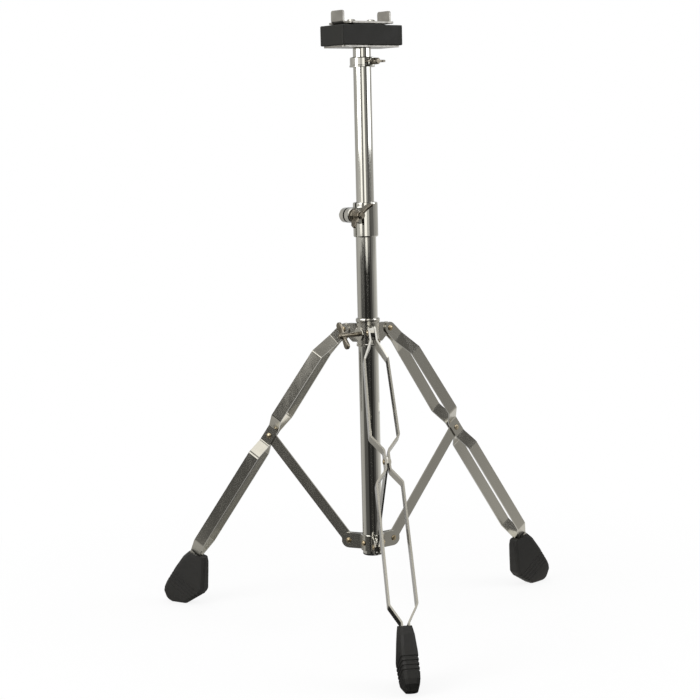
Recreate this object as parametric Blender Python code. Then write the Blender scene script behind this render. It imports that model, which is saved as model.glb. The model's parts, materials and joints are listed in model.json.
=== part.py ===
"""Folding double-braced tripod stand that carries a pair of tall hand drums.

Metres, +Z up. The front leg points to -Y. Each leg bay is an empty on the post axis,
turned to its leg: inside a bay +X runs outwards and Y runs across the leg.
"""

import math

import bmesh
import bpy
from mathutils import Matrix, Vector

# Clearances between pieces.
GAP = 0.0003
SLIDE_GAP = 0.0004
LOW_PIVOT_SIDE_GAP = 0.0005
LOW_PIVOT_HOLE_GAP = 0.0008

# Linkage of one leg, measured in the leg's own plane.
LEG_TILT = math.radians(34.6)
LEG_LOWER = 0.2848
LEG_UPPER = 0.1782
PIVOT_OFFSET = 0.0093
PIVOT_RADIUS = 0.0318
BRACE_LENGTH = 0.1701
LEG_AZIMUTHS = (-90.0, 30.0, 150.0)

# Steel strip of the legs and braces.
STRAP_T = 0.0022
STRAP_WIDTH = 0.0150
BRACE_T = 0.0022
BRACE_WIDTH = 0.0140
EAR_T = 0.0050
BEND_RADIUS = 0.0045

# Outer width across a leg's two straps, and where the bends lie along the leg from its middle rivet.
UPPER_SPREAD_TOP = 0.0309
UPPER_SPREAD_LOW = 0.0367
LOWER_SPREAD_TOP = 0.0335
LOWER_SPREAD_LOW = 0.0345
FOOT_SPREAD = 0.0104
BEND_COLLAR = -0.1600
BEND_SHOULDER = -0.1345
BEND_UPPER = -0.0315
BEND_PINCH_IN = -0.0125
BEND_PINCH_OUT = 0.0120
BEND_LOWER = 0.0290
BEND_CALF = 0.1790
BEND_ANKLE = 0.2000
STRAP_END = 0.2340
FOOT_PIN_AT = 0.2240

# Rivets.
RIVET_R = 0.0024
LOW_RIVET_R = 0.0021
RIVET_HEAD_R = 0.0037
RIVET_HEAD_H = 0.0015

# Lower tube, its brackets and its end plug.
TUBE_R = 0.0127
TUBE_WALL = 0.0013
TUBE_LENGTH = 0.4225
TUBE_DROP = 0.0142
BRACKET_T = 0.0018
BRACKET_EAR_R = 0.0098
BRACKET_BEND = 0.0032
TUBE_PLUG_FLANGE = 0.0014
TUBE_PLUG_DEPTH = 0.0070

# Sliding leg collar.
COLLAR_WALL = 0.0013
COLLAR_ABOVE = 0.0148
COLLAR_BELOW = 0.0203
COLLAR_BEAD = 0.0008
EAR_ABOVE = 0.0080
EAR_BELOW = 0.0155
EAR_END_R = 0.0072
WING_BOLT_R = 0.0029
WING_BOLT_DROP = 0.0042
WING_BOLT_HUB_AT = 0.0330
WING_BOLT_HUB_LENGTH = 0.0130
WING_BOLT_SPAN = 0.0370
WING_BOLT_TURN = math.radians(32.0)
BOSS_R = 0.0085
BOSS_OUT = 0.0155
COLLAR_SCREW_R = 0.0018

# Height clamp on top of the lower tube.
CLAMP_HEIGHT = 0.0433
CLAMP_BELOW_TUBE_TOP = 0.0195
CLAMP_R = 0.0155
CLAMP_LIP = 0.0016
CLAMP_AZIMUTH = -148.0
LUG_AT = 0.0262
LUG_R = 0.0092
LUG_T = 0.0180
LUG_HEIGHT_AT = 0.0283
SLOT_T = 0.0026
CLAMP_BOLT_R = 0.0039
WASHER_R = 0.0082
WASHER_T = 0.0014
WING_NUT_BASE_R = 0.0078
WING_NUT_SPAN = 0.0420
WING_NUT_HEIGHT = 0.0185
WING_NUT_TURN = math.radians(41.0)
BUSH_HEIGHT = 0.0215

# Upper tube and memory collar.
MAST_R = 0.0111
MAST_WALL = 0.0012
MAST_LENGTH = 0.4400
MAST_EXPOSED = 0.1886
MAST_PLUG_FLANGE = 0.0012
MAST_PLUG_DEPTH = 0.0100
MEMORY_HEIGHT = 0.0122
MEMORY_R = 0.0150
MEMORY_BELOW_HEAD = 0.0110
MEMORY_AZIMUTH = -52.0
MEMORY_BOSS_R = 0.0055
MEMORY_BOSS_OUT = 0.0190
MEMORY_SCREW_R = 0.0029
MEMORY_WING_AT = 0.0240
LOOP_R = 0.0055
LOOP_HOLE_R = 0.0024
LOOP_T = 0.0027
LOOP_SPREAD = 0.0085

# Head: flange on the tube, block, and the plate whose two tabs carry the drums.
HEAD_TURN = math.radians(28.7)
BLOCK_LENGTH = 0.0905
BLOCK_WIDTH = 0.0480
BLOCK_HEIGHT = 0.0244
BLOCK_EDGE = 0.0012
LAND_HEIGHT = 0.0014
LAND_FROM = -0.0280
LAND_TO = 0.0070
LAND_RAMP = 0.0150
FLANGE_LENGTH = 0.0860
FLANGE_WIDTH = 0.0430
FLANGE_T = 0.0020
PLATE_LENGTH = 0.0660
PLATE_T = 0.0025
PLATE_CORNER = 0.0035
TAB_SPREAD = 0.0706
TAB_WIDTH = 0.0246
TAB_HEIGHT = 0.0163
TAB_CORNER = 0.0035
TAB_BEND = 0.0030
HEAD_SCREW_R = 0.0030
HEAD_SCREW_HEAD_R = 0.0056
HEAD_SCREW_HEAD_H = 0.0032
HEAD_SCREW_SPACING = 0.0300

# Rubber foot: stations along the leg with inner edge, outer edge and half thickness.
FOOT_TOP = 0.2020
FOOT_TOP_RAKE = 0.33
FOOT_CORNER = 0.0045
FOOT_INNER = 0.0380
FOOT_OUTER = 0.0130
FOOT_HALF_T = 0.0102
SOLE_FROM = 0.0270
SOLE_TO = 0.0100
TREAD_DEPTH = 0.0007
TREAD_PITCH = 0.0052
TREAD_COUNT = 4

SEGMENTS = 32
PIN_SEGMENTS = 14

# Heights and radii that follow from the linkage.
MID_Z = LEG_LOWER * math.cos(LEG_TILT)
MID_R = PIVOT_RADIUS + LEG_UPPER * math.sin(LEG_TILT) + PIVOT_OFFSET * math.cos(LEG_TILT)
TOP_Z = MID_Z + LEG_UPPER * math.cos(LEG_TILT) - PIVOT_OFFSET * math.sin(LEG_TILT)
LOW_Z = MID_Z - math.sqrt(BRACE_LENGTH ** 2 - (MID_R - PIVOT_RADIUS) ** 2)
TUBE_BOTTOM = LOW_Z - TUBE_DROP
TUBE_TOP = TUBE_BOTTOM + TUBE_LENGTH
CLAMP_BOTTOM = TUBE_TOP - CLAMP_BELOW_TUBE_TOP
CLAMP_TOP = CLAMP_BOTTOM + CLAMP_HEIGHT
MAST_TOP = CLAMP_TOP + MAST_EXPOSED
MAST_BOTTOM = MAST_TOP - MAST_LENGTH
FLANGE_Z = MAST_TOP + GAP
BLOCK_Z = FLANGE_Z + FLANGE_T + GAP
BLOCK_TOP = BLOCK_Z + BLOCK_HEIGHT
PLATE_Z = BLOCK_TOP + LAND_HEIGHT + GAP
COLLAR_BORE = TUBE_R + SLIDE_GAP
COLLAR_R = COLLAR_BORE + COLLAR_WALL
TUBE_BORE = TUBE_R - TUBE_WALL
MAST_BORE = MAST_R - MAST_WALL
LUG_Z = CLAMP_BOTTOM + LUG_HEIGHT_AT


def clear_scene():
    for obj in list(bpy.data.objects):
        bpy.data.objects.remove(obj, do_unlink=True)


def paint(name, colour, roughness, metallic):
    material = bpy.data.materials.new(name)
    material.use_nodes = True
    shader = material.node_tree.nodes["Principled BSDF"]
    shader.inputs["Base Color"].default_value = (*colour, 1.0)
    shader.inputs["Roughness"].default_value = roughness
    shader.inputs["Metallic"].default_value = metallic
    return material


def empty(name, parent=None, location=(0, 0, 0), rotation=(0, 0, 0)):
    obj = bpy.data.objects.new(name, None)
    obj.empty_display_size = 0.02
    obj.location = location
    obj.rotation_euler = rotation
    obj.parent = parent
    bpy.context.collection.objects.link(obj)
    return obj


def mesh_from(bm, name):
    bmesh.ops.remove_doubles(bm, verts=bm.verts, dist=1e-7)
    bmesh.ops.recalc_face_normals(bm, faces=bm.faces)
    mesh = bpy.data.meshes.new(name)
    bm.to_mesh(mesh)
    bm.free()
    mesh.shade_smooth()
    mesh.set_sharp_from_angle(angle=math.radians(32))
    return mesh


def place(name, mesh, parent, location=(0, 0, 0), rotation=(0, 0, 0), material=None):
    obj = bpy.data.objects.new(name, mesh)
    obj.location = location
    obj.rotation_euler = rotation
    obj.parent = parent
    if material is not None and not mesh.materials:
        mesh.materials.append(material)
    bpy.context.collection.objects.link(obj)
    return obj


def helper(name, mesh, parent, location=(0, 0, 0), rotation=(0, 0, 0)):
    obj = place(name, mesh, parent, location, rotation)
    obj.hide_render = True
    obj.display_type = "WIRE"
    return obj


def boolean(obj, other, operation="DIFFERENCE"):
    modifier = obj.modifiers.new(operation.title(), "BOOLEAN")
    modifier.operation = operation
    modifier.solver = "EXACT"
    modifier.object = other


def bevel(obj, width, segments=2, angle=40.0):
    modifier = obj.modifiers.new("Bevel", "BEVEL")
    modifier.width = width
    modifier.segments = segments
    modifier.limit_method = "ANGLE"
    modifier.angle_limit = math.radians(angle)


def turned(name, profile, segments=SEGMENTS, closed=False):
    """A turned piece about Z from (radius, height) points; closed joins the last point to the first."""
    bm = bmesh.new()
    verts = [bm.verts.new((r, 0.0, z)) for r, z in profile]
    edges = [bm.edges.new(pair) for pair in zip(verts, verts[1:])]
    if closed:
        edges.append(bm.edges.new((verts[-1], verts[0])))
    bmesh.ops.spin(bm, geom=verts + edges, cent=(0, 0, 0), axis=(0, 0, 1),
                   angle=math.tau, steps=segments, use_merge=True)
    return mesh_from(bm, name)


def rod(name, radius, start, end, segments=PIN_SEGMENTS, chamfer=0.0):
    """A round bar along Z."""
    profile = [(0.0, start), (radius - chamfer, start)]
    if chamfer:
        profile.append((radius, start + chamfer))
        profile.append((radius, end - chamfer))
    else:
        profile.append((radius, end))
    profile += [(radius - chamfer, end), (0.0, end)] if chamfer else [(0.0, end)]
    return turned(name, profile, segments)


def ring(name, inner, outer, start, end, chamfer=0.0, segments=SEGMENTS):
    """A tube along Z with its outer edges chamfered."""
    profile = [(inner, start), (outer - chamfer, start)]
    if chamfer:
        profile += [(outer, start + chamfer), (outer, end - chamfer)]
    profile += [(outer - chamfer, end), (inner, end)]
    return turned(name, profile, segments, closed=True)


def arc(cx, cy, radius, start, end, steps):
    """Points on an arc, angles in degrees."""
    turn = [math.radians(start + (end - start) * i / steps) for i in range(steps + 1)]
    return [(cx + radius * math.cos(t), cy + radius * math.sin(t)) for t in turn]


def slab(name, outline, low, high):
    """An outline in XY pulled up from low to high."""
    bm = bmesh.new()
    face = bm.faces.new([bm.verts.new((x, y, low)) for x, y in outline])
    pulled = bmesh.ops.extrude_face_region(bm, geom=[face])
    top = [v for v in pulled["geom"] if isinstance(v, bmesh.types.BMVert)]
    bmesh.ops.translate(bm, verts=top, vec=(0, 0, high - low))
    return mesh_from(bm, name)


def box_mesh(name, size, centre=(0, 0, 0)):
    bm = bmesh.new()
    bmesh.ops.create_cube(bm, size=1.0)
    bmesh.ops.scale(bm, vec=size, verts=bm.verts)
    bmesh.ops.translate(bm, vec=centre, verts=bm.verts)
    return mesh_from(bm, name)


def rounded_box(length, width, corner, steps=4):
    """Outline of a rectangle with round corners."""
    points = []
    for sx, sy, start in ((1, 1, 0), (-1, 1, 90), (-1, -1, 180), (1, -1, 270)):
        cx = sx * (length / 2 - corner)
        cy = sy * (width / 2 - corner)
        points += arc(cx, cy, corner, start, start + 90, steps)
    return points


def fillet(points, radius, steps=2):
    """A polyline in a plane with each inner corner turned into an arc."""
    rounded = [Vector(points[0])]
    for before, corner, after in zip(points, points[1:], points[2:]):
        corner = Vector(corner)
        back = (Vector(before) - corner)
        ahead = (Vector(after) - corner)
        bend = math.pi - back.angle(ahead)
        if bend < 0.02:
            rounded.append(corner)
            continue
        reach = min(radius * math.tan(bend / 2), 0.45 * back.length, 0.45 * ahead.length)
        size = reach / math.tan(bend / 2)
        middle = (back.normalized() + ahead.normalized()).normalized()
        centre = corner + middle * (size / math.cos(bend / 2))
        first = corner + back.normalized() * reach - centre
        last = corner + ahead.normalized() * reach - centre
        for i in range(steps + 1):
            mixed = first.lerp(last, i / steps).normalized() * size
            rounded.append(centre + mixed)
    rounded.append(Vector(points[-1]))
    return rounded


def loft(name, sections):
    """Joins rings of equally many points into one closed body."""
    bm = bmesh.new()
    rings = [[bm.verts.new(p) for p in section] for section in sections]
    for low, high in zip(rings, rings[1:]):
        count = len(low)
        for i in range(count):
            j = (i + 1) % count
            bm.faces.new((low[i], low[j], high[j], high[i]))
    bm.faces.new(list(reversed(rings[0])))
    bm.faces.new(rings[-1])
    return mesh_from(bm, name)


def strip_sections(path, widths, thickness, across):
    """Four-cornered sections of sheet strip along a path: path points hold (centre, tangent)."""
    sections = []
    for (centre, tangent), half in zip(path, widths):
        side = across.copy()
        face = tangent.cross(side).normalized()
        out = face * (thickness / 2)
        sections.append([centre + side * half + out, centre - side * half + out,
                         centre - side * half - out, centre + side * half - out])
    return sections


def tangents(points):
    """Unit tangent at each point of a path of 3D vectors."""
    found = []
    for i, point in enumerate(points):
        before = points[max(i - 1, 0)]
        after = points[min(i + 1, len(points) - 1)]
        found.append((after - before).normalized())
    return found


def round_end(radius, steps=4):
    """Distance from the tip and half width at the stations of a round strip end."""
    angles = [math.radians(16 + (90 - 16) * i / steps) for i in range(steps + 1)]
    return [(radius * (1 - math.cos(t)), radius * math.sin(t)) for t in angles]


def rivet_mesh(name, half_grip, shank=RIVET_R):
    """A rivet along Y with a domed head beyond each face of what it holds."""
    inside = half_grip + GAP
    profile = [(0.0, inside + RIVET_HEAD_H)]
    for turn in (math.radians(48), math.radians(90)):
        profile.append((RIVET_HEAD_R * math.sin(turn), inside + RIVET_HEAD_H * math.cos(turn)))
    profile.append((shank, inside))
    profile += [(r, -z) for r, z in reversed(profile)]
    mesh = turned(name, profile, PIN_SEGMENTS)
    mesh.transform(Matrix.Rotation(math.pi / 2, 4, "X"))
    return mesh


def across_rod(name, radius, half_length, segments=PIN_SEGMENTS):
    """A round bar along Y, used as a drill."""
    mesh = rod(name, radius, -half_length, half_length, segments)
    mesh.transform(Matrix.Rotation(math.pi / 2, 4, "X"))
    return mesh


def in_leg(along, across, sideways=0.0):
    """From leg coordinates, measured from the middle rivet, to the bay's directions."""
    s, c = math.sin(LEG_TILT), math.cos(LEG_TILT)
    return Vector((along * s + across * c, sideways, -along * c + across * s))


def strap_mesh(name, side):
    """One bent strap of a leg, origin at the collar pivot. side is +1 or -1."""
    collar_y = EAR_T / 2 + GAP + STRAP_T / 2
    pinch_y = BRACE_T / 2 + GAP + STRAP_T / 2
    inset = STRAP_T / 2
    end_r = STRAP_WIDTH / 2
    tip = -LEG_UPPER - end_r
    profile = [
        (tip, collar_y),
        (BEND_COLLAR, collar_y),
        (BEND_SHOULDER, UPPER_SPREAD_TOP / 2 - inset),
        (BEND_UPPER, UPPER_SPREAD_LOW / 2 - inset),
        (BEND_PINCH_IN, pinch_y),
        (BEND_PINCH_OUT, pinch_y),
        (BEND_LOWER, LOWER_SPREAD_TOP / 2 - inset),
        (BEND_CALF, LOWER_SPREAD_LOW / 2 - inset),
        (BEND_ANKLE, FOOT_SPREAD / 2 - inset),
        (STRAP_END, FOOT_SPREAD / 2 - inset),
    ]
    rounded = fillet(profile, BEND_RADIUS)
    ends = round_end(end_r)
    stations = [Vector((tip + d, collar_y)) for d, _ in ends] + rounded[1:]
    widths = [w for _, w in ends] + [end_r] * (len(rounded) - 1)
    slope = PIVOT_OFFSET / (BEND_SHOULDER + LEG_UPPER)
    lean = math.atan(slope)
    points = []
    for along, y in stations:
        across = min(0.0, (along - BEND_SHOULDER) * slope)
        points.append(in_leg(along, across, side * y))
    path = list(zip(points, tangents(points)))
    sections = []
    for (centre, tangent), (along, _), half in zip(path, stations, widths):
        turn = lean if along < BEND_SHOULDER - 0.003 else 0.0
        width_way = in_leg(-math.sin(turn), math.cos(turn)).normalized()
        face = tangent.cross(width_way).normalized() * (STRAP_T / 2)
        wide = width_way * half
        sections.append([centre + wide + face, centre - wide + face,
                         centre - wide - face, centre + wide - face])
    mesh = loft(name, sections)
    mesh.transform(Matrix.Translation(-in_leg(-LEG_UPPER, -PIVOT_OFFSET)))
    return mesh


def brace_mesh(name):
    """Flat brace with round ends, origin at the middle rivet, lying along its rest direction."""
    end_r = BRACE_WIDTH / 2
    ends = round_end(end_r)
    lengths = [-end_r + d for d, _ in ends]
    lengths += [BRACE_LENGTH + end_r - d for d, _ in reversed(ends)]
    widths = [w for _, w in ends] + [w for _, w in reversed(ends)]
    drop = MID_Z - LOW_Z
    reach = MID_R - PIVOT_RADIUS
    way = Vector((-reach, 0.0, -drop)).normalized()
    across = way.cross(Vector((0, 1, 0)))
    path = [(way * length, way) for length in lengths]
    return loft(name, strip_sections(path, widths, BRACE_T, across))


def bracket_mesh(name):
    """Stamped strip round the tube between two legs, with an ear bent out along each leg."""
    middle_r = TUBE_R + GAP + BRACKET_T / 2
    ear_y = BRACE_T / 2 + LOW_PIVOT_SIDE_GAP + BRACKET_T / 2
    tip = PIVOT_RADIUS + BRACKET_EAR_R
    ends = round_end(BRACKET_EAR_R)
    start = math.degrees(math.asin(ear_y / middle_r))
    first = [(tip, ear_y), (math.sqrt(middle_r ** 2 - ear_y ** 2), ear_y)]
    steps = 8
    curve = [(middle_r * math.cos(math.radians(a)), middle_r * math.sin(math.radians(a)))
             for a in [start + (120 - 2 * start) * i / steps for i in range(1, steps)]]
    turn = Matrix.Rotation(math.radians(120), 2)
    last = [tuple(turn @ Vector((x, -y))) for x, y in reversed(first)]
    path = fillet(first + curve + last, BRACKET_BEND)
    out_a = Vector((1.0, 0.0))
    out_b = turn @ out_a
    points = [Vector((tip - d, ear_y)) for d, _ in ends] + path[1:-1]
    points += [Vector(last[-1]) - out_b * d for d, _ in reversed(ends)]
    widths = [w for _, w in ends] + [BRACKET_EAR_R] * (len(path) - 2)
    widths += [w for _, w in reversed(ends)]
    solid = [Vector((p.x, p.y, 0.0)) for p in points]
    path3 = list(zip(solid, tangents(solid)))
    return loft(name, strip_sections(path3, widths, BRACKET_T, Vector((0, 0, 1))))


def foot_mesh(name):
    """Flared rubber foot lofted along the leg, origin at the collar pivot."""
    ground = LEG_LOWER
    rise = math.tan(LEG_TILT)
    sole_in = ground - SOLE_FROM * rise
    sole_out = ground - SOLE_TO * rise
    stations = [
        (FOOT_TOP, 0.0148, 0.0096, 0.0073, FOOT_TOP_RAKE),
        (FOOT_TOP + 0.0045, 0.0195, 0.0105, 0.0080, FOOT_TOP_RAKE * 0.6),
        (FOOT_TOP + 0.0130, 0.0265, 0.0122, 0.0090, 0.0),
        (FOOT_TOP + 0.0330, FOOT_INNER, FOOT_OUTER, FOOT_HALF_T, 0.0),
    ]
    groove = FOOT_TOP + 0.0380
    for i in range(TREAD_COUNT):
        at = groove + i * TREAD_PITCH
        for step, depth in ((0.0, 0.0), (0.0007, TREAD_DEPTH), (0.0019, TREAD_DEPTH), (0.0026, 0.0)):
            share = max(0.0, (at + step - FOOT_TOP - 0.0400) / (sole_in - FOOT_TOP - 0.0400))
            inner = FOOT_INNER + (SOLE_FROM - FOOT_INNER) * share - depth
            stations.append((at + step, inner, FOOT_OUTER - depth, FOOT_HALF_T - depth, 0.0))
    stations = [s for s in stations if s[0] < sole_in - 0.0015]
    stations += [
        (sole_in, SOLE_FROM, FOOT_OUTER - 0.0010, FOOT_HALF_T - 0.0004, 0.0),
        ((sole_in + sole_out) / 2, (SOLE_FROM + SOLE_TO) / 2, 0.0100, FOOT_HALF_T - 0.0014, 0.0),
        (sole_out, SOLE_TO, 0.0030, FOOT_HALF_T - 0.0030, 0.0),
    ]
    sections = []
    for along, inner, outer, half, rake in stations:
        corner = min(FOOT_CORNER, 0.8 * half, 0.45 * (inner + outer))
        outline = rounded_box(inner + outer, 2 * half, corner, 2)
        middle = (outer - inner) / 2
        section = [in_leg(along + rake * (middle + x), middle + x, y) for x, y in outline]
        sections.append(section)
    mesh = loft(name, sections)
    mesh.transform(Matrix.Translation(-in_leg(-LEG_UPPER, -PIVOT_OFFSET)))
    return mesh


def foot_pin_mesh(name):
    """Shouldered pin that spaces the two straps inside the foot."""
    inner = FOOT_SPREAD / 2 - STRAP_T - GAP
    outer = FOOT_SPREAD / 2
    profile = [(0.0, outer), (RIVET_R, outer), (RIVET_R, inner), (RIVET_HEAD_R, inner)]
    profile += [(r, -z) for r, z in reversed(profile)]
    mesh = turned(name, profile, PIN_SEGMENTS)
    mesh.transform(Matrix.Rotation(math.pi / 2, 4, "X"))
    return mesh


def wing_outline(base, reach, low, high):
    """Side view of one wing, from the hub at x=base to its rounded tip."""
    span = reach - base
    return [
        (base, low),
        (base + 0.45 * span, low + 0.04 * high),
        (base + 0.86 * span, low + 0.34 * high),
        (base + 0.98 * span, low + 0.55 * high),
        (reach, low + 0.72 * high),
        (base + 0.96 * span, high - 0.03 * high),
        (base + 0.84 * span, high),
        (base + 0.68 * span, high - 0.09 * high),
        (base + 0.38 * span, low + 0.50 * high),
        (base, low + 0.46 * high),
    ]


clear_scene()

chrome = paint("chrome", (0.62, 0.62, 0.60), 0.12, 1.0)
steel = paint("bright_steel", (0.55, 0.54, 0.51), 0.24, 1.0)
brass_rivet = paint("rivet_steel", (0.42, 0.38, 0.28), 0.30, 1.0)
dark_cast = paint("dark_cast_metal", (0.13, 0.12, 0.10), 0.32, 1.0)
zinc = paint("zinc_plate", (0.40, 0.39, 0.37), 0.42, 1.0)
black_block = paint("black_moulding", (0.012, 0.012, 0.009), 0.55, 0.0)
rubber = paint("black_rubber", (0.014, 0.013, 0.011), 0.62, 0.0)
nylon = paint("black_nylon", (0.02, 0.02, 0.02), 0.45, 0.0)

stand = empty("stand")
bays = []
for number, azimuth in enumerate(LEG_AZIMUTHS, 1):
    bays.append(empty(f"leg_bay_{number}", stand, rotation=(0, 0, math.radians(azimuth))))

# Drills through the three pivots of each bay.
drill = across_rod("pivot_drill", RIVET_R + GAP, 0.0120)
foot_drill = across_rod("foot_pin_drill", RIVET_R + GAP, 0.0120)
pocket = box_mesh(
    "foot_pocket",
    (STRAP_WIDTH + 2 * GAP, FOOT_SPREAD + 2 * GAP, STRAP_END + GAP - FOOT_TOP + 0.0200),
    (0, 0, -(STRAP_END + GAP + FOOT_TOP - 0.0200) / 2),
)
pocket_turn = (0, -LEG_TILT, 0)
straps = {side: strap_mesh(f"leg_strap_{name}", side) for side, name in ((1, "a"), (-1, "b"))}
brace = brace_mesh("brace")
foot = foot_mesh("foot")
foot_pin = foot_pin_mesh("foot_pin")
mid_rivet = rivet_mesh("mid_rivet", BRACE_T / 2 + GAP + STRAP_T)
top_rivet = rivet_mesh("top_rivet", EAR_T / 2 + GAP + STRAP_T)
low_rivet = rivet_mesh("low_rivet", BRACE_T / 2 + LOW_PIVOT_SIDE_GAP + BRACKET_T, LOW_RIVET_R)
ear_drill = across_rod("ear_drill", LOW_RIVET_R + GAP, 0.0120)
brace_drill = across_rod("brace_drill", LOW_RIVET_R + LOW_PIVOT_HOLE_GAP, 0.0120)

top_drills = []
low_drills = []
for number, bay in enumerate(bays, 1):
    top = empty(f"leg_{number}_pivot", bay, (PIVOT_RADIUS, 0, TOP_Z))
    low = empty(f"brace_{number}_pivot", bay, (PIVOT_RADIUS, 0, LOW_Z))
    middle = in_leg(LEG_UPPER, PIVOT_OFFSET)
    to_mid = (MID_R - PIVOT_RADIUS, 0, MID_Z - LOW_Z)
    top_drill = helper(f"drill_top_{number}", drill, top)
    mid_drill = helper(f"drill_mid_{number}", drill, top, middle)
    low_drill = helper(f"drill_low_{number}", ear_drill, low)
    low_brace_drill = helper(f"drill_brace_{number}", brace_drill, low)
    pin_at = middle + in_leg(FOOT_PIN_AT, 0.0)
    pin_drill = helper(f"drill_foot_{number}", foot_drill, top, pin_at)
    pocket_cut = helper(f"pocket_{number}", pocket, top, middle, pocket_turn)
    top_drills.append(top_drill)
    low_drills.append(low_drill)
    for side, letter in ((1, "a"), (-1, "b")):
        strap = place(f"leg_{number}_strap_{letter}", straps[side], top, material=steel)
        for cutter in (top_drill, mid_drill, pin_drill):
            boolean(strap, cutter)
    flat = place(f"brace_{number}", brace, low, to_mid, material=steel)
    boolean(flat, mid_drill)
    boolean(flat, low_brace_drill)
    place(f"leg_{number}_mid_rivet", mid_rivet, top, middle, material=brass_rivet)
    place(f"collar_rivet_{number}", top_rivet, top, material=brass_rivet)
    place(f"brace_{number}_lower_rivet", low_rivet, low, material=brass_rivet)
    place(f"foot_{number}_pin", foot_pin, top, pin_at, material=brass_rivet)
    boot = place(f"rubber_foot_{number}", foot, top, material=rubber)
    boolean(boot, pocket_cut)

# Lower tube with the plug in its bottom end.
lower_tube = place("lower_tube", ring("lower_tube", TUBE_BORE, TUBE_R, TUBE_BOTTOM, TUBE_TOP, 0.0004),
                   stand, material=chrome)
plug_r = TUBE_BORE - GAP
plug_low = TUBE_BOTTOM - GAP - TUBE_PLUG_FLANGE
place("tube_end_plug", turned("tube_end_plug", [
    (0.0, plug_low), (TUBE_R - 0.0008, plug_low), (TUBE_R, plug_low + 0.0008),
    (TUBE_R, TUBE_BOTTOM - GAP), (plug_r, TUBE_BOTTOM - GAP),
    (plug_r, TUBE_BOTTOM + TUBE_PLUG_DEPTH - 0.0010), (plug_r - 0.0010, TUBE_BOTTOM + TUBE_PLUG_DEPTH),
    (0.0, TUBE_BOTTOM + TUBE_PLUG_DEPTH)]), stand, material=nylon)

# Lower brackets, each riveted to the tube between two legs.
bracket = bracket_mesh("lower_bracket")
fix_grip_out = TUBE_R + GAP + BRACKET_T + GAP
fix_rivet = turned("fix_rivet", [
    (0.0, TUBE_BORE - 0.0012), (RIVET_R * 0.8, TUBE_BORE - 0.0012), (RIVET_R * 0.8, fix_grip_out),
    (RIVET_HEAD_R, fix_grip_out), (RIVET_HEAD_R * 0.85, fix_grip_out + 0.0008),
    (RIVET_HEAD_R * 0.45, fix_grip_out + RIVET_HEAD_H), (0.0, fix_grip_out + RIVET_HEAD_H)], PIN_SEGMENTS)
fix_drill = rod("fix_drill", RIVET_R * 0.8 + GAP, TUBE_BORE - 0.0030, fix_grip_out + 0.0040)
lie_out = (0, math.pi / 2, 0)
for number, bay in enumerate(bays, 1):
    between = empty(f"bracket_bay_{number}", bay, (0, 0, LOW_Z), (0, 0, math.radians(60)))
    cutter = helper(f"drill_fix_{number}", fix_drill, between, rotation=lie_out)
    strip = place(f"lower_bracket_{number}", bracket, bay, (0, 0, LOW_Z), material=steel)
    boolean(strip, cutter)
    boolean(lower_tube, cutter)
    boolean(strip, low_drills[number - 1])
    boolean(strip, low_drills[number % 3])
    place(f"bracket_rivet_{number}", fix_rivet, between, rotation=lie_out, material=brass_rivet)

# Sliding leg collar: turned sleeve, three ears and a boss for the wing bolt.
collar_seat = empty("leg_collar_seat", stand, (0, 0, TOP_Z))
bead_r = COLLAR_R + COLLAR_BEAD
leg_collar = place("leg_collar", turned("leg_collar", [
    (COLLAR_BORE, COLLAR_ABOVE), (COLLAR_BORE, -COLLAR_BELOW), (COLLAR_R, -COLLAR_BELOW),
    (COLLAR_R + 0.0004, -COLLAR_BELOW + 0.0006), (COLLAR_R + 0.0004, -COLLAR_BELOW + 0.0030),
    (COLLAR_R - 0.0002, -COLLAR_BELOW + 0.0036), (COLLAR_R - 0.0002, COLLAR_ABOVE - 0.0052),
    (bead_r - 0.0003, COLLAR_ABOVE - 0.0042), (bead_r, COLLAR_ABOVE - 0.0030),
    (bead_r, COLLAR_ABOVE - 0.0012), (bead_r - 0.0006, COLLAR_ABOVE)], closed=True),
    collar_seat, material=steel)
ear_in = COLLAR_BORE + 0.0006
ear_outline = [(ear_in, EAR_ABOVE), (PIVOT_RADIUS - 0.0080, EAR_ABOVE)]
ear_outline += arc(PIVOT_RADIUS, 0.0, EAR_END_R, 85, -75, 6)
ear_outline += [(PIVOT_RADIUS - 0.0060, -EAR_BELOW + 0.0050), (COLLAR_R + 0.0060, -EAR_BELOW),
                (ear_in, -EAR_BELOW)]
ear = slab("collar_ear", ear_outline, -EAR_T / 2, EAR_T / 2)
ear.transform(Matrix.Rotation(math.pi / 2, 4, "X"))
for number, bay in enumerate(bays, 1):
    blade = helper(f"ear_{number}", ear, bay, (0, 0, TOP_Z))
    boolean(leg_collar, blade, "UNION")
bolt_seat = empty("collar_bolt_seat", stand, (0, 0, TOP_Z - WING_BOLT_DROP), (0, 0, math.radians(-150)))
boss = helper("bolt_boss", rod("bolt_boss", BOSS_R, COLLAR_BORE + 0.0006, BOSS_OUT, 20, 0.0005),
              bolt_seat, rotation=lie_out)
boolean(leg_collar, boss, "UNION")
bolt_drill = helper("drill_bolt", rod("drill_bolt", WING_BOLT_R + GAP, COLLAR_BORE - 0.0030, BOSS_OUT + 0.004),
                    bolt_seat, rotation=lie_out)
boolean(leg_collar, bolt_drill)
for cutter in top_drills:
    boolean(leg_collar, cutter)
screw_seat = empty("collar_screw_seat", stand, (0, 0, TOP_Z - COLLAR_BELOW + 0.0065),
                   (0, 0, math.radians(-30)))
screw_drill = helper("drill_screw", rod("drill_screw", COLLAR_SCREW_R + GAP, COLLAR_BORE - 0.002, COLLAR_R + 0.002),
                     screw_seat, rotation=lie_out)
boolean(leg_collar, screw_drill)
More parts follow.
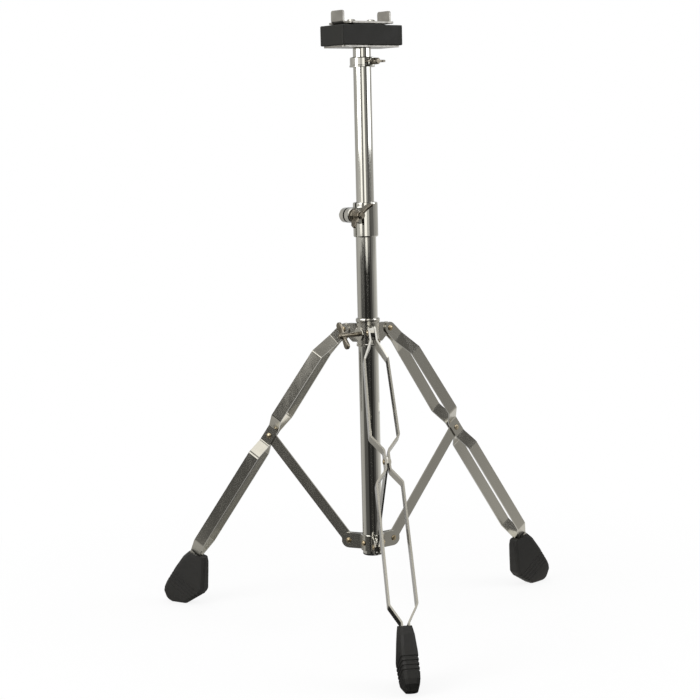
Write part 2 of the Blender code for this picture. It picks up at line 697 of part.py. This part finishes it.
place("collar_guide_screw", turned("collar_guide_screw", [
    (0.0, TUBE_R + GAP), (COLLAR_SCREW_R, TUBE_R + GAP), (COLLAR_SCREW_R, COLLAR_R + GAP),
    (COLLAR_SCREW_R * 1.7, COLLAR_R + GAP), (COLLAR_SCREW_R * 1.5, COLLAR_R + GAP + 0.0011),
    (COLLAR_SCREW_R * 0.8, COLLAR_R + GAP + 0.0016), (0.0, COLLAR_R + GAP + 0.0016)], 16),
    screw_seat, rotation=lie_out, material=dark_cast)

# Wing bolt of the leg collar: shaft, hub and two flat lobes.
hub_end = WING_BOLT_HUB_AT + WING_BOLT_HUB_LENGTH
wing_bolt = place("collar_wing_bolt", turned("collar_wing_bolt", [
    (0.0, TUBE_R + GAP), (WING_BOLT_R - 0.0006, TUBE_R + GAP), (WING_BOLT_R, TUBE_R + GAP + 0.0008),
    (WING_BOLT_R, WING_BOLT_HUB_AT), (WING_BOLT_R + 0.0014, WING_BOLT_HUB_AT + 0.0015),
    (WING_BOLT_R + 0.0014, hub_end - 0.0020), (WING_BOLT_R, hub_end - 0.0004),
    (WING_BOLT_R - 0.0010, hub_end), (0.0, hub_end)], 18), bolt_seat, rotation=lie_out, material=dark_cast)
half_span = WING_BOLT_SPAN / 2
lobe_outline = [(-0.0028, 0.0)]
lobe_outline += [(-0.0033, 0.0060), (-0.0042, 0.0120)]
lobe_outline += arc(0.0, half_span - 0.0044, 0.0044, 180, 0, 6)
lobe_outline += [(0.0042, 0.0120), (0.0033, 0.0060), (0.0028, 0.0)]
lobe_at = WING_BOLT_HUB_AT + 0.0040
for turn, label in ((0.0, "a"), (math.pi, "b")):
    mesh = slab(f"lobe_{label}", lobe_outline, lobe_at, lobe_at + 0.0044)
    mesh.transform(Matrix.Rotation(turn + WING_BOLT_TURN + math.pi / 2, 4, "Z"))
    lobe = helper(f"wing_lobe_{label}", mesh, bolt_seat, rotation=lie_out)
    bevel(lobe, 0.0009, 1)
    boolean(wing_bolt, lobe, "UNION")

# Height clamp: sleeve with a split lug, bolt, washer and wing nut.
clamp_seat = empty("clamp_seat", stand, (0, 0, CLAMP_BOTTOM), (0, 0, math.radians(CLAMP_AZIMUTH)))
clamp_bore = TUBE_R + GAP
lip_r = MAST_R + SLIDE_GAP + GAP
edge = 0.0018
height_clamp = place("height_clamp", turned("height_clamp", [
    (clamp_bore, 0.0), (CLAMP_R - edge, 0.0), (CLAMP_R - 0.0005, 0.0006), (CLAMP_R, edge),
    (CLAMP_R, CLAMP_HEIGHT - edge), (CLAMP_R - 0.0005, CLAMP_HEIGHT - 0.0006),
    (CLAMP_R - edge, CLAMP_HEIGHT), (lip_r, CLAMP_HEIGHT), (lip_r, CLAMP_HEIGHT - CLAMP_LIP),
    (clamp_bore, CLAMP_HEIGHT - CLAMP_LIP)], closed=True), clamp_seat, material=chrome)
lug_outline = [(clamp_bore + 0.0008, -LUG_R - 0.0022), (CLAMP_R + 0.0015, -LUG_R - 0.0012)]
lug_outline += arc(LUG_AT, 0.0, LUG_R, -90, 90, 10)
lug_outline += [(clamp_bore + 0.0008, LUG_R)]
lug_mesh = slab("clamp_lug", lug_outline, -LUG_T / 2, LUG_T / 2)
lug_mesh.transform(Matrix.Rotation(math.pi / 2, 4, "X"))
lug = helper("clamp_lug", lug_mesh, clamp_seat, (0, 0, LUG_HEIGHT_AT))
bevel(lug, 0.0009, 1)
boolean(height_clamp, lug, "UNION")
slot = helper("clamp_slot", box_mesh("clamp_slot", (0.0300, SLOT_T, CLAMP_HEIGHT + 0.004),
                                     (clamp_bore - 0.0022 + 0.0150, 0, CLAMP_HEIGHT / 2)), clamp_seat)
boolean(height_clamp, slot)
bolt_line = empty("clamp_bolt_line", clamp_seat, (LUG_AT, 0, LUG_HEIGHT_AT), (-math.pi / 2, 0, 0))
bolt_hole = helper("clamp_bolt_hole", rod("clamp_bolt_hole", CLAMP_BOLT_R + GAP, -0.020, 0.020, 18), bolt_line)
boolean(height_clamp, bolt_hole)
face = LUG_T / 2 + GAP
nut_at = face + WASHER_T + GAP
bolt_end = nut_at + 0.0160
place("clamp_bolt", turned("clamp_bolt", [
    (0.0, -face - 0.0042), (0.0042, -face - 0.0038), (0.0066, -face - 0.0024), (0.0074, -face),
    (CLAMP_BOLT_R, -face), (CLAMP_BOLT_R, bolt_end - 0.0008), (CLAMP_BOLT_R - 0.0008, bolt_end),
    (0.0, bolt_end)], 18), bolt_line, material=dark_cast)
place("clamp_washer", ring("clamp_washer", CLAMP_BOLT_R + GAP, WASHER_R, face, face + WASHER_T, 0.0, 24),
      bolt_line, material=dark_cast)
wing_nut = place("clamp_wing_nut", turned("clamp_wing_nut", [
    (CLAMP_BOLT_R + GAP, 0.0), (WING_NUT_BASE_R - 0.0008, 0.0), (WING_NUT_BASE_R, 0.0010),
    (WING_NUT_BASE_R - 0.0004, 0.0024), (0.0062, 0.0038), (0.0052, 0.0110), (0.0048, 0.0120),
    (CLAMP_BOLT_R + GAP, 0.0120)], 20, closed=True), bolt_line, (0, 0, nut_at), material=dark_cast)
for turn, label in ((0.0, "a"), (math.pi, "b")):
    outline = wing_outline(CLAMP_BOLT_R + 0.0008, WING_NUT_SPAN / 2, 0.0044, WING_NUT_HEIGHT)
    mesh = slab(f"nut_wing_{label}", outline, -0.0018, 0.0018)
    mesh.transform(Matrix.Rotation(math.pi / 2, 4, "X"))
    mesh.transform(Matrix.Rotation(turn + WING_NUT_TURN, 4, "Z"))
    wing = helper(f"nut_wing_{label}", mesh, bolt_line, (0, 0, nut_at))
    bevel(wing, 0.0008, 1)
    boolean(wing_nut, wing, "UNION")

# Nylon bush between the clamp and the upper tube.
bush_low = TUBE_TOP + GAP
place("mast_bush", ring("mast_bush", MAST_R + SLIDE_GAP, TUBE_R, bush_low, bush_low + BUSH_HEIGHT, 0.0003),
      stand, material=nylon)

# Upper tube with its guide plug.
mast = empty("mast", stand, (0, 0, MAST_TOP))
place("upper_tube", ring("upper_tube", MAST_BORE, MAST_R, -MAST_LENGTH, 0.0, 0.0003), mast, material=chrome)
guide_r = MAST_BORE - GAP
guide_low = -MAST_LENGTH - GAP - MAST_PLUG_FLANGE
place("upper_tube_plug", turned("upper_tube_plug", [
    (0.0, guide_low), (MAST_R - 0.0006, guide_low), (MAST_R - 0.0001, guide_low + 0.0006),
    (MAST_R - 0.0001, -MAST_LENGTH - GAP), (guide_r, -MAST_LENGTH - GAP),
    (guide_r, -MAST_LENGTH + MAST_PLUG_DEPTH), (0.0, -MAST_LENGTH + MAST_PLUG_DEPTH)]),
    mast, material=nylon)

# Memory collar with its looped wing screw.
memory_seat = empty("memory_seat", mast, (0, 0, -MEMORY_BELOW_HEAD - MEMORY_HEIGHT),
                    (0, 0, math.radians(MEMORY_AZIMUTH)))
memory_bore = MAST_R + SLIDE_GAP
memory_collar = place("memory_collar", turned("memory_collar", [
    (memory_bore, 0.0), (MEMORY_R + 0.0004, 0.0), (MEMORY_R + 0.0008, 0.0006),
    (MEMORY_R + 0.0006, 0.0018), (MEMORY_R, 0.0028), (MEMORY_R, MEMORY_HEIGHT - 0.0012),
    (MEMORY_R - 0.0012, MEMORY_HEIGHT), (memory_bore, MEMORY_HEIGHT)], closed=True),
    memory_seat, material=chrome)
screw_line = empty("memory_screw_line", memory_seat, (0, 0, MEMORY_HEIGHT / 2 + 0.0004), lie_out)
knob = helper("memory_boss", rod("memory_boss", MEMORY_BOSS_R, memory_bore + 0.0008, MEMORY_BOSS_OUT, 18, 0.0006),
              screw_line)
boolean(memory_collar, knob, "UNION")
boolean(memory_collar, helper("memory_drill", rod(
    "memory_drill", MEMORY_SCREW_R + GAP, memory_bore - 0.003, MEMORY_BOSS_OUT + 0.003), screw_line))
screw_tip = MAST_R + GAP
memory_screw = place("memory_wing_screw", turned("memory_wing_screw", [
    (0.0, screw_tip), (MEMORY_SCREW_R - 0.0005, screw_tip), (MEMORY_SCREW_R, screw_tip + 0.0006),
    (MEMORY_SCREW_R, MEMORY_BOSS_OUT + GAP), (MEMORY_SCREW_R + 0.0014, MEMORY_BOSS_OUT + 0.0010),
    (MEMORY_SCREW_R + 0.0010, MEMORY_WING_AT + 0.0034), (MEMORY_SCREW_R, MEMORY_WING_AT + 0.0042),
    (0.0, MEMORY_WING_AT + 0.0042)], 16), screw_line, material=dark_cast)
loop_outline = arc(LOOP_SPREAD, 0.0, LOOP_R, -128, 128, 10) + [(0.0, 0.0038), (0.0, -0.0038)]
for turn, label in ((0.0, "a"), (math.pi, "b")):
    mesh = slab(f"loop_{label}", loop_outline, -LOOP_T / 2, LOOP_T / 2)
    mesh.transform(Matrix.Rotation(math.pi / 2, 4, "X"))
    mesh.transform(Matrix.Translation((0, 0, MEMORY_WING_AT)))
    mesh.transform(Matrix.Rotation(turn + math.pi / 2, 4, "Z"))
    loop = helper(f"memory_loop_{label}", mesh, screw_line)
    bevel(loop, 0.0006, 1)
    boolean(memory_screw, loop, "UNION")
for sign, label in ((1, "a"), (-1, "b")):
    hole = rod(f"loop_hole_{label}", LOOP_HOLE_R, -0.006, 0.006, 12)
    hole.transform(Matrix.Rotation(math.pi / 2, 4, "Y"))
    boolean(memory_screw, helper(f"loop_hole_{label}", hole, screw_line,
                                 (0, sign * LOOP_SPREAD, MEMORY_WING_AT)))

# Head: flange, block, hook plate and two screws.
head = empty("head", mast, (0, 0, -MAST_TOP), (0, 0, HEAD_TURN))
screw_x = HEAD_SCREW_SPACING / 2
holes = {}
for label, x in (("1", -screw_x), ("2", screw_x)):
    hole = rod(f"head_hole_{label}", HEAD_SCREW_R + GAP, FLANGE_Z - 0.004, PLATE_Z + PLATE_T + 0.004)
    holes[label] = helper(f"head_hole_{label}", hole, head, (x, 0, 0))
flange = place("head_flange", slab("head_flange", rounded_box(FLANGE_LENGTH, FLANGE_WIDTH, 0.003),
                                   FLANGE_Z, FLANGE_Z + FLANGE_T), head, material=zinc)
land_l = BLOCK_LENGTH / 2
block_side = [(-land_l, BLOCK_Z), (land_l, BLOCK_Z), (land_l, BLOCK_TOP),
              (LAND_TO + LAND_RAMP, BLOCK_TOP), (LAND_TO, BLOCK_TOP + LAND_HEIGHT),
              (LAND_FROM, BLOCK_TOP + LAND_HEIGHT), (LAND_FROM - 0.0020, BLOCK_TOP),
              (-land_l, BLOCK_TOP)]
block_mesh = slab("head_block", block_side, -BLOCK_WIDTH / 2, BLOCK_WIDTH / 2)
block_mesh.transform(Matrix.Rotation(math.pi / 2, 4, "X"))
block = place("head_block", block_mesh, head, material=black_block)
bevel(block, BLOCK_EDGE, 2, 60)
plate = place("hook_plate", slab("hook_plate", rounded_box(PLATE_LENGTH, BLOCK_WIDTH, PLATE_CORNER),
                                 PLATE_Z, PLATE_Z + PLATE_T), head, material=zinc)
bevel(plate, 0.0003, 1)
middle_z = PLATE_Z + PLATE_T / 2
tab_x = TAB_SPREAD / 2
ends = round_end(TAB_CORNER)
for sign, label in ((1, "a"), (-1, "b")):
    bent = fillet([(sign * (tab_x - 0.012), middle_z), (sign * tab_x, middle_z),
                   (sign * tab_x, PLATE_Z + TAB_HEIGHT - TAB_CORNER)], TAB_BEND, 4)
    points = [Vector((p.x, 0.0, p.y)) for p in bent]
    points += [Vector((sign * tab_x, 0.0, PLATE_Z + TAB_HEIGHT - d)) for d, _ in reversed(ends[:-1])]
    widths = [TAB_WIDTH / 2] * len(bent) + [TAB_WIDTH / 2 - TAB_CORNER + w for _, w in reversed(ends[:-1])]
    mesh = loft(f"tab_{label}", strip_sections(list(zip(points, tangents(points))), widths, PLATE_T,
                                               Vector((0, 1, 0))))
    boolean(plate, helper(f"hook_tab_{label}", mesh, head), "UNION")
for label, hole in holes.items():
    for piece in (flange, block, plate):
        boolean(piece, hole)
    seat = PLATE_Z + PLATE_T + GAP
    place(f"head_screw_{label}", turned(f"head_screw_{label}", [
        (0.0, FLANGE_Z), (HEAD_SCREW_R, FLANGE_Z), (HEAD_SCREW_R, seat), (HEAD_SCREW_HEAD_R, seat),
        (HEAD_SCREW_HEAD_R, seat + 0.0010), (HEAD_SCREW_HEAD_R * 0.8, seat + HEAD_SCREW_HEAD_H * 0.85),
        (HEAD_SCREW_HEAD_R * 0.4, seat + HEAD_SCREW_HEAD_H), (0.0, seat + HEAD_SCREW_HEAD_H)], PIN_SEGMENTS),
        head, hole.location, material=steel)

# The whole stand is moved so that its bounding box is centred over the origin and stands on Z = 0.
bpy.context.view_layer.update()
graph = bpy.context.evaluated_depsgraph_get()
corners = []
for obj in bpy.context.scene.objects:
    if obj.type == "MESH" and not obj.hide_render:
        solid = obj.evaluated_get(graph)
        corners += [solid.matrix_world @ v.co for v in solid.data.vertices]
low = Vector([min(c[i] for c in corners) for i in range(3)])
high = Vector([max(c[i] for c in corners) for i in range(3)])
stand.location = (-(low.x + high.x) / 2, -(low.y + high.y) / 2, -low.z)
bpy.context.view_layer.update()
print("post axis at", [round(v, 5) for v in stand.location], "size", [round(v, 5) for v in high - low])
print("pivot heights", round(TOP_Z, 5), round(MID_Z, 5), round(LOW_Z, 5), "middle radius", round(MID_R, 5))
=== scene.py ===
"""Looks of the folding drum stand: finishes, pale floor, surroundings, softboxes and camera."""

import json
import math

import bpy
from mathutils import Matrix, Vector


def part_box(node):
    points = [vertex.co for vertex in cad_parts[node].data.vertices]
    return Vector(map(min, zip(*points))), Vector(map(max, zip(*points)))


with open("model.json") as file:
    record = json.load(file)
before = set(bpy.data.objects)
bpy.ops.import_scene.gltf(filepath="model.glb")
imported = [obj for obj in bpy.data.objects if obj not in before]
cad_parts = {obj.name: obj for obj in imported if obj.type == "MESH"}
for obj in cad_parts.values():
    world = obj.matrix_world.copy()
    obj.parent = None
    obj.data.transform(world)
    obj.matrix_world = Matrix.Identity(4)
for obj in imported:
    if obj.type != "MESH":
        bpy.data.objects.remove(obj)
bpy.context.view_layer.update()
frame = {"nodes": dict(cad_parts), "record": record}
NODES = frame["nodes"]

# The camera was fitted to the photograph, measured from the axis of the tubes.
PHOTO_PIXELS = 700
FOCAL_PIXELS = 1688.1
SENSOR_MM = 36.0
CAMERA_RIGHT = -0.0232
CAMERA_BACK = 2.105
CAMERA_HEIGHT = 0.6277
CAMERA_REACH = 50
CAMERA_TURN = math.radians(7.08)
CAMERA_PITCH = math.radians(7.498)
CAMERA_ROLL = math.radians(1.363)

WHITE = (1, 1, 1, 1)

# The floor lies just under the soles. Its paper turns pure white between two distances from the stand.
FLOOR_SIZE = 12
FLOOR_DROP = 0.0002
PAPER = (0.93, 0.93, 0.93, 1)
PAPER_ROUGHNESS = 0.9
PAPER_SPECULAR = 0.1
SHADOW_REACH = (0.35, 0.75)
NEAR_WHITE = 0.86

# Strength of the light that comes from all round.
SOFT_STRENGTH = 0.55

# Painted reflections: what the metal mirrors, as (direction in degrees from the camera, positive to its
# right; brightness). The floor list glows from the floor and the room list from the world, seen only by
# glossy rays.
FLOOR_REFLECTION_PAINT = [
    (-180, 0.50), (-130, 0.42), (-100, 0.55), (-84, 0.42), (-70, 0.12), (-40, 0.10),
    (-28, 0.03), (-8, 0.02), (6, 0.05), (24, 0.025), (40, 0.03), (62, 0.16),
    (78, 0.34), (92, 0.50), (108, 0.50), (130, 0.85), (180, 0.70),
]
ROOM_REFLECTION_PAINT = [
    (-180, 0.60), (-130, 0.45), (-85, 0.60), (-62, 0.65), (-54, 1.6), (-36, 1.6),
    (-28, 0.20), (-12, 0.40), (-4, 1.6), (14, 1.5), (28, 0.14), (66, 0.14),
    (88, 0.35), (110, 0.45), (130, 0.55), (180, 0.60),
]
# The greys of the painted reflections are slightly warm.
WARM_GREEN = 0.97
WARM_BLUE = 0.90

# Softboxes: (name, size, watts, place from the stand's axis). All aim at the middle of the stand.
SOFTBOXES = [
    ("softbox_left", (1.2, 1.6), 22, (-1.8, -0.9, 1.3)),
    ("softbox_right", (1.2, 1.6), 16, (1.9, -0.5, 1.3)),
    ("softbox_top", (2.0, 2.0), 14, (0, 0.2, 2.6)),
]
SOFTBOX_AIM = (0, 0, 0.4)


def axis_point():
    """Where the axis of the tubes meets the floor."""
    low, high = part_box("lower_tube")
    return Vector(((low[0] + high[0]) / 2, (low[1] + high[1]) / 2, 0.0))


AXIS = axis_point()


# Nodes shared by the materials

def material(name):
    mat = bpy.data.materials.new(name)
    mat.use_nodes = True
    tree = mat.node_tree
    return mat, tree, tree.nodes["Principled BSDF"]


def noise(tree, scale, detail=3.0, stretch=(1, 1, 1)):
    """Object-space noise, stretched along an axis for brushed or drawn surfaces."""
    coords = tree.nodes.new("ShaderNodeTexCoord")
    mapping = tree.nodes.new("ShaderNodeMapping")
    mapping.inputs["Scale"].default_value = stretch
    texture = tree.nodes.new("ShaderNodeTexNoise")
    texture.inputs["Scale"].default_value = scale
    texture.inputs["Detail"].default_value = detail
    tree.links.new(coords.outputs["Object"], mapping.inputs["Vector"])
    tree.links.new(mapping.outputs["Vector"], texture.inputs["Vector"])
    return texture.outputs["Fac"]


def ramp(tree, source, low, high, start=0.35, end=0.65):
    """Maps a value to a range between two greys or colours."""
    node = tree.nodes.new("ShaderNodeValToRGB")
    node.color_ramp.elements[0].position = start
    node.color_ramp.elements[1].position = end
    for element, value in zip(node.color_ramp.elements, (low, high)):
        element.color = (*value, 1) if isinstance(value, tuple) else (value, value, value, 1)
    tree.links.new(source, node.inputs["Fac"])
    return node.outputs["Color"]


def bump(tree, shader, source, strength, distance):
    node = tree.nodes.new("ShaderNodeBump")
    node.inputs["Strength"].default_value = strength
    node.inputs["Distance"].default_value = distance
    tree.links.new(source, node.inputs["Height"])
    tree.links.new(node.outputs["Normal"], shader.inputs["Normal"])


def metal(name, colours, roughness, grain, stretch=(1, 1, 1), relief=0.0):
    """Plated or cast metal with slight clouding of its colour and polish."""
    mat, tree, shader = material(name)
    shader.inputs["Metallic"].default_value = 1.0
    clouds = noise(tree, grain, 4.0, stretch)
    tree.links.new(ramp(tree, clouds, *colours), shader.inputs["Base Color"])
    scratches = noise(tree, grain * 6, 3.0, stretch)
    tree.links.new(ramp(tree, scratches, *roughness), shader.inputs["Roughness"])
    if relief:
        bump(tree, shader, noise(tree, grain * 10, 2.0, stretch), relief, 0.0003)
    return mat


def moulded(name, colours, roughness, grain, relief):
    """Black rubber or plastic with a fine moulded grain."""
    mat, tree, shader = material(name)
    clouds = noise(tree, grain, 5.0)
    tree.links.new(ramp(tree, clouds, *colours), shader.inputs["Base Color"])
    tree.links.new(ramp(tree, clouds, *roughness), shader.inputs["Roughness"])
    bump(tree, shader, noise(tree, grain * 8, 2.0), relief, 0.0002)
    return mat


# Finishes, by the name of the material slot

def finishes():
    return {
        "chrome": metal(
            "chrome_plate", colours=((0.60, 0.60, 0.57), (0.68, 0.68, 0.65)),
            roughness=(0.05, 0.09), grain=18, stretch=(1, 1, 0.2)),
        "bright_steel": metal(
            "plated_strip", colours=((0.52, 0.51, 0.47), (0.56, 0.55, 0.51)),
            roughness=(0.15, 0.20), grain=14, stretch=(1, 1, 0.4)),
        "rivet_steel": metal(
            "rivet_plate", colours=((0.42, 0.34, 0.22), (0.60, 0.52, 0.38)),
            roughness=(0.20, 0.32), grain=90),
        "dark_cast_metal": metal(
            "dark_plate", colours=((0.16, 0.14, 0.11), (0.26, 0.24, 0.20)),
            roughness=(0.24, 0.38), grain=120, relief=0.15),
        "zinc_plate": metal(
            "zinc_sheet", colours=((0.36, 0.35, 0.33), (0.46, 0.45, 0.42)),
            roughness=(0.34, 0.46), grain=40, relief=0.08),
        "black_moulding": moulded(
            "block_plastic", colours=((0.004, 0.004, 0.003), (0.008, 0.008, 0.006)),
            roughness=(0.58, 0.68), grain=60, relief=0.25),
        "black_rubber": moulded(
            "foot_rubber", colours=((0.004, 0.004, 0.0035), (0.009, 0.0085, 0.007)),
            roughness=(0.60, 0.72), grain=90, relief=0.35),
        "black_nylon": moulded(
            "bush_nylon", colours=((0.015, 0.015, 0.014), (0.025, 0.025, 0.023)),
            roughness=(0.38, 0.48), grain=80, relief=0.10),
    }


def dress_nodes():
    finish_of = finishes()
    for part in frame["record"]["subparts"]:
        mesh = NODES[part["node"]].data
        mesh.materials.clear()
        mesh.materials.append(finish_of[part["material_slot"]])


# Floor and surroundings

def around_stand(tree, vector, bands):
    """Painted reflection brightness by the direction round the stand: pale at the sides and behind, dark
    in front.
    """
    coords = tree.nodes.new("ShaderNodeTexCoord")
    turn = tree.nodes.new("ShaderNodeVectorRotate")
    turn.rotation_type = "Z_AXIS"
    turn.inputs["Angle"].default_value = CAMERA_TURN
    split = tree.nodes.new("ShaderNodeSeparateXYZ")
    away = tree.nodes.new("ShaderNodeMath")
    away.operation = "MULTIPLY"
    away.inputs[1].default_value = -1.0
    angle = tree.nodes.new("ShaderNodeMath")
    angle.operation = "ARCTAN2"
    share = tree.nodes.new("ShaderNodeMath")
    share.operation = "MULTIPLY_ADD"
    share.inputs[1].default_value = 1 / math.tau
    share.inputs[2].default_value = 0.5
    stops = tree.nodes.new("ShaderNodeValToRGB")
    elements = stops.color_ramp.elements
    for element, position, value in ((elements[0], 0.0, bands[0][1]), (elements[1], 1.0, bands[-1][1])):
        element.position = position
        element.color = (value, value, value, 1)
    for degrees, value in bands[1:-1]:
        stop = elements.new(0.5 + degrees / 360)
        stop.color = (value, value * WARM_GREEN, value * WARM_BLUE, 1)
    tree.links.new(coords.outputs[vector], turn.inputs["Vector"])
    tree.links.new(turn.outputs["Vector"], split.inputs["Vector"])
    tree.links.new(split.outputs["Y"], away.inputs[0])
    tree.links.new(split.outputs["X"], angle.inputs[0])
    tree.links.new(away.outputs[0], angle.inputs[1])
    tree.links.new(angle.outputs[0], share.inputs[0])
    tree.links.new(share.outputs[0], stops.inputs["Fac"])
    return stops.outputs["Color"]


def mixed(tree, factor, without, with_it):
    """One shader where the factor is 0, the other where it is 1."""
    node = tree.nodes.new("ShaderNodeMixShader")
    tree.links.new(factor, node.inputs["Fac"])
    tree.links.new(without, node.inputs[1])
    tree.links.new(with_it, node.inputs[2])
    return node.outputs["Shader"]


def whiteness(tree, camera_rays):
    """How white the camera sees the paper: full far away, less near the stand, where its shadow falls."""
    coords = tree.nodes.new("ShaderNodeTexCoord")
    reach = tree.nodes.new("ShaderNodeVectorMath")
    reach.operation = "LENGTH"
    fade = tree.nodes.new("ShaderNodeMapRange")
    fade.inputs["From Min"].default_value = SHADOW_REACH[0]
    fade.inputs["From Max"].default_value = SHADOW_REACH[1]
    fade.inputs["To Min"].default_value = NEAR_WHITE
    fade.inputs["To Max"].default_value = 1.0
    share = tree.nodes.new("ShaderNodeMath")
    share.operation = "MULTIPLY"
    tree.links.new(coords.outputs["Object"], reach.inputs[0])
    tree.links.new(reach.outputs["Value"], fade.inputs["Value"])
    tree.links.new(fade.outputs["Result"], share.inputs[0])
    tree.links.new(camera_rays, share.inputs[1])
    return share.outputs[0]


def pale_floor():
    """Paper that is white to the camera apart from the shadow, and shows painted reflection bands in the
    metal.
    """
    bpy.ops.mesh.primitive_plane_add(size=FLOOR_SIZE, location=(AXIS.x, AXIS.y, -FLOOR_DROP))
    floor = bpy.context.object
    floor.name = "floor"
    mat, tree, shader = material("floor_paper")
    shader.inputs["Base Color"].default_value = PAPER
    shader.inputs["Roughness"].default_value = PAPER_ROUGHNESS
    shader.inputs["Specular IOR Level"].default_value = PAPER_SPECULAR
    floor.data.materials.append(mat)
    rays = tree.nodes.new("ShaderNodeLightPath").outputs
    lift = tree.nodes.new("ShaderNodeEmission")
    lift.inputs["Color"].default_value = WHITE
    # Painted reflection: to glossy rays the floor glows in grey bands by direction round the stand.
    painted_floor_reflection = tree.nodes.new("ShaderNodeEmission")
    tree.links.new(around_stand(tree, "Object", FLOOR_REFLECTION_PAINT), painted_floor_reflection.inputs["Color"])
    white_share = whiteness(tree, rays["Is Camera Ray"])
    paper = mixed(tree, white_share, shader.outputs["BSDF"], lift.outputs["Emission"])
    surface = mixed(tree, rays["Is Glossy Ray"], paper, painted_floor_reflection.outputs["Emission"])
    tree.links.new(surface, tree.nodes["Material Output"].inputs["Surface"])


def background(tree, strength):
    node = tree.nodes.new("ShaderNodeBackground")
    node.inputs["Color"].default_value = WHITE
    node.inputs["Strength"].default_value = strength
    return node


def surroundings():
    """White behind the stand, soft light from all round, and painted reflection bands that only the metal
    sees.
    """
    world = bpy.data.worlds.new("studio")
    bpy.context.scene.world = world
    world.use_nodes = True
    tree = world.node_tree
    tree.nodes.clear()
    rays = tree.nodes.new("ShaderNodeLightPath").outputs
    white = background(tree, 1.0)
    soft = background(tree, SOFT_STRENGTH)
    # Painted reflection: to glossy rays the world shows bright and dark bands by direction round the
    # stand.
    painted_room_reflection = background(tree, 1.0)
    tree.links.new(around_stand(tree, "Generated", ROOM_REFLECTION_PAINT), painted_room_reflection.inputs["Color"])
    lit = mixed(tree, rays["Is Glossy Ray"], soft.outputs["Background"], painted_room_reflection.outputs["Background"])
    seen = mixed(tree, rays["Is Camera Ray"], lit, white.outputs["Background"])
    output = tree.nodes.new("ShaderNodeOutputWorld")
    tree.links.new(seen, output.inputs["Surface"])


# Softboxes and camera

def softbox(name, size, watts, place):
    light = bpy.data.lights.new(name, "AREA")
    light.shape = "RECTANGLE"
    light.size, light.size_y = size
    light.energy = watts
    obj = bpy.data.objects.new(name, light)
    obj.location = AXIS + Vector(place)
    aim = (AXIS + Vector(SOFTBOX_AIM)) - obj.location
    obj.rotation_euler = aim.to_track_quat("-Z", "Y").to_euler()
    bpy.context.collection.objects.link(obj)


def camera():
    data = bpy.data.cameras.new("camera")
    data.sensor_width = SENSOR_MM
    data.lens = FOCAL_PIXELS / PHOTO_PIXELS * SENSOR_MM
    data.clip_end = CAMERA_REACH
    obj = bpy.data.objects.new("camera", data)
    turn = Matrix.Rotation(-CAMERA_TURN, 4, "Z")
    spot = turn @ Vector((CAMERA_RIGHT, -CAMERA_BACK, 0.0))
    pitch = Matrix.Rotation(math.radians(90) - CAMERA_PITCH, 4, "X")
    roll = Matrix.Rotation(-CAMERA_ROLL, 4, "Z")
    place = Matrix.Translation(AXIS + spot + Vector((0, 0, CAMERA_HEIGHT)))
    obj.matrix_world = place @ turn @ pitch @ roll
    bpy.context.collection.objects.link(obj)
    bpy.context.scene.camera = obj


dress_nodes()
pale_floor()
surroundings()
for box in SOFTBOXES:
    softbox(*box)
camera()
bpy.context.scene.view_settings.view_transform = "Standard"
